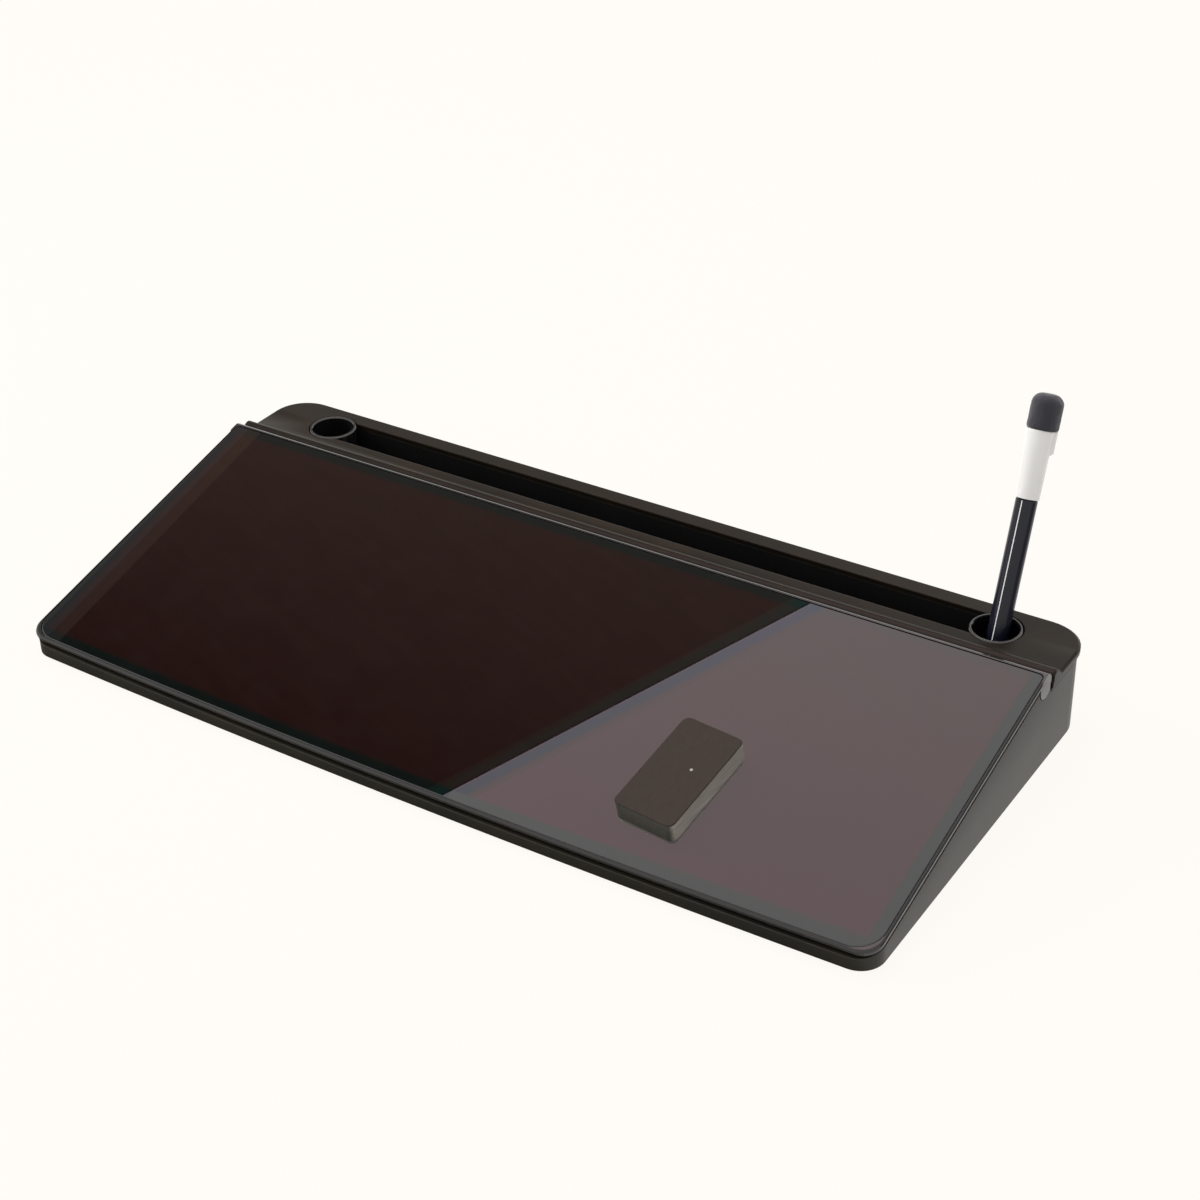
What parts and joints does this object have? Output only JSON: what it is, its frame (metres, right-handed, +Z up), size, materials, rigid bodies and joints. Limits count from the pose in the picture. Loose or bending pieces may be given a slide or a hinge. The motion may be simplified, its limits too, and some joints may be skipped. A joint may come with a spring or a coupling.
{
  "type": "desktop glass writing board",
  "caption": "Low wedge-shaped desk case with a hinged glass writing lid, a storage tray under it, a rear deck with a pen channel and two cups, a leaning marker and a felt eraser.",
  "frame": {"origin": "middle of the whole object's footprint, on the surface it stands on", "axes": "+X to the right along the front edge, +Y from the low front edge to the rear deck, +Z up"},
  "size_m": [0.4016, 0.2181, 0.1258],
  "materials": {
    "case_plastic": "dark charcoal, satin to glossy moulding",
    "deck_plastic": "dark charcoal, satin to glossy moulding",
    "trough_plastic": "near black, matt",
    "rubber": "soft black rubber",
    "steel": "plain zinc-plated steel",
    "board_glass": "clear glossy glass over a black film",
    "backing_film": "black film seen through the glass",
    "tape": "grey foam tape",
    "magnet": "nickel-plated magnet",
    "eraser_plastic": "dark warm grey, fine grain",
    "felt": "dense grey felt",
    "marker_plastic": "glossy blue-black",
    "white_plastic": "glossy white",
    "fibre": "white fibre",
    "tip_felt": "dark blue-grey felt"
  },
  "bodies": {
    "case": {"base_tray": "case_plastic", "deck_cover": "deck_plastic", "pen_channel": "trough_plastic", "pen_cup_left": "trough_plastic", "pen_cup_right": "trough_plastic", "rubber_feet": "rubber", "case_screws": "steel", "catch_plates": "steel"},
    "lid": {"lid_frame": "case_plastic", "glass_board": "board_glass", "black_backing": "backing_film", "steel_sheet": "steel", "foam_tape": "tape", "hinge_rod_left": "steel", "hinge_rod_right": "steel", "lid_magnets": "magnet", "lid_bumpers": "rubber"},
    "eraser": {"eraser_body": "eraser_plastic", "eraser_felt": "felt", "eraser_magnets": "magnet"},
    "marker": {"marker_barrel": "marker_plastic", "marker_end_plug": "marker_plastic", "ink_reservoir": "fibre", "marker_nose": "white_plastic", "marker_nib": "fibre"},
    "cap": {"marker_cap": "white_plastic", "cap_magnet": "magnet", "cap_felt": "tip_felt"}
  },
  "joints": [
    {"name": "lid_hinge", "type": "hinge", "parent": "case", "child": "lid", "pos_m": [0, 0.03548, 0.04], "axis": [-1, 0, 0], "range_deg": [0, 110]},
    {"name": "eraser_lift", "type": "slide", "parent": "lid", "child": "eraser", "axis": [0, -0.236, 0.9718], "range_m": [0, 0.08]},
    {"name": "marker_lift", "type": "slide", "parent": "case", "child": "marker", "axis": [-0.0204, 0.3902, 0.9205], "range_m": [0, 0.1]},
    {"name": "cap_pull", "type": "slide", "parent": "marker", "child": "cap", "axis": [-0.0204, 0.3902, 0.9205], "range_m": [0, 0.05]}
  ]
}
